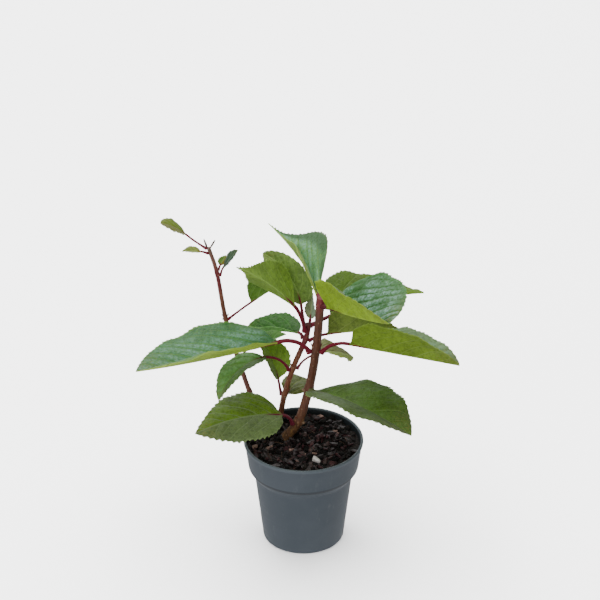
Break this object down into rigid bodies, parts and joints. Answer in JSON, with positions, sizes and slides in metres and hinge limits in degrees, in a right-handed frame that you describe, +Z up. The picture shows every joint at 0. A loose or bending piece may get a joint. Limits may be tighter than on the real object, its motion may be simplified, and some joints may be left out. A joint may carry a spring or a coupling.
{
  "type": "potted hydrangea plant",
  "caption": "Young hydrangea shrub with leafy stems, rooted in bark mix in a round nursery pot with a stepped collar.",
  "frame": {"origin": "centre of the pot's flat underside", "axes": "+Z up along the pot's axis, -Y the plant's front, +X to the right seen from the front"},
  "size_m": [0.2398, 0.195, 0.2657],
  "materials": {
    "pot": "matte slate grey-blue polypropylene, thin and slightly translucent at the rim",
    "bark_mix": "damp dark composted bark with paler chips",
    "stems": "smooth reddish brown bark, tan and rougher at the foot",
    "leaves": "satin quilted leaf, olive to blue-green above, yellow-green below",
    "dry_buds": "dull dry grey-brown bud scales"
  },
  "bodies": {
    "root": {"pot": "pot", "soil": "bark_mix", "stem_main": "stems", "stem_second": "stems", "stem_third": "stems", "leaf_low_left": "leaves", "leaf_low_right": "leaves", "leaf_long_left": "leaves", "leaf_long_right": "leaves", "leaf_top_front": "leaves", "leaf_top_back": "leaves", "leaf_inner_upright": "leaves", "leaf_inner_low": "leaves", "leaf_drooping_left": "leaves", "leaf_small_right": "leaves", "leaf_middle_left": "leaves", "leaf_middle_right": "leaves", "leaf_front_left": "leaves", "leaf_upper_left": "leaves", "leaf_upper_right": "leaves", "leaf_top_hidden": "leaves", "leaf_hidden_small": "leaves", "leaf_behind_left": "leaves", "leaf_tip_dark": "leaves", "leaf_tip_pale": "leaves", "leaf_tip_long": "leaves", "leaf_tip_narrow": "leaves", "dry_bud_left": "dry_buds", "dry_bud_right": "dry_buds"}
  },
  "joints": []
}
